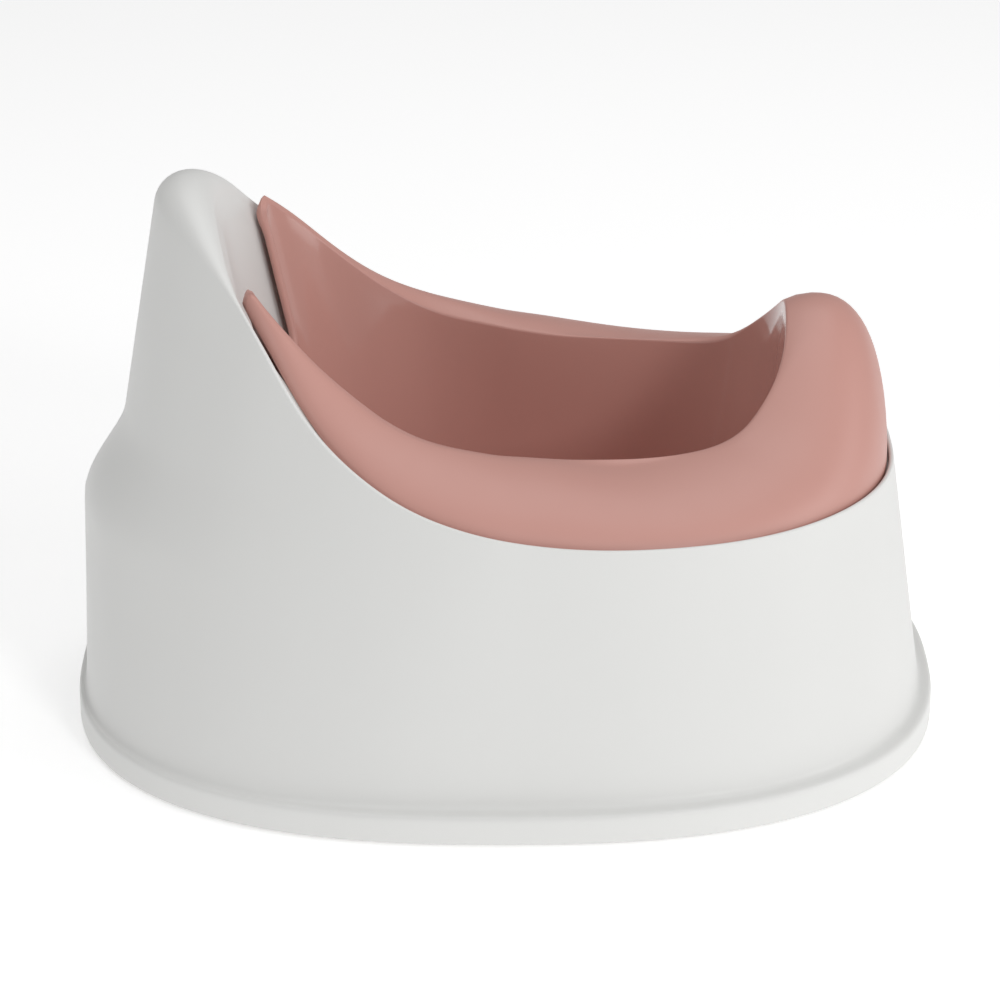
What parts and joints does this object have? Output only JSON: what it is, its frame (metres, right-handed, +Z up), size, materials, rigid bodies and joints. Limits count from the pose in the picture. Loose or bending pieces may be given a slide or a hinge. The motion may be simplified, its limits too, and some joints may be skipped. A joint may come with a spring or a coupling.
{
  "type": "potty training chair",
  "caption": "Child's potty chair: an open-bottomed oval shell with a raised rounded backrest, and a lift-out pot with a moulded seat and a splash guard at the front.",
  "frame": {"origin": "bottom centre of the overall box, on the floor under the middle of the base", "axes": "+Z up; -Y is the front, towards the splash guard; +Y is the back, towards the backrest; the object is symmetric about the plane x = 0"},
  "size_m": [0.29, 0.36, 0.2294],
  "materials": {
    "shell_white": "satin moulded polypropylene",
    "pot_pink": "satin moulded polypropylene, polished inside the bowl",
    "foot_rubber": "matt thermoplastic rubber"
  },
  "bodies": {
    "shell": {"outer_shell": "shell_white", "front_left_foot": "foot_rubber", "front_right_foot": "foot_rubber", "rear_left_foot": "foot_rubber", "rear_right_foot": "foot_rubber"},
    "pot": {"inner_pot": "pot_pink"}
  },
  "joints": [
    {"name": "pot_lift", "type": "slide", "parent": "shell", "child": "pot", "axis": [0, 0, 1], "range_m": [0, 0.2]}
  ]
}
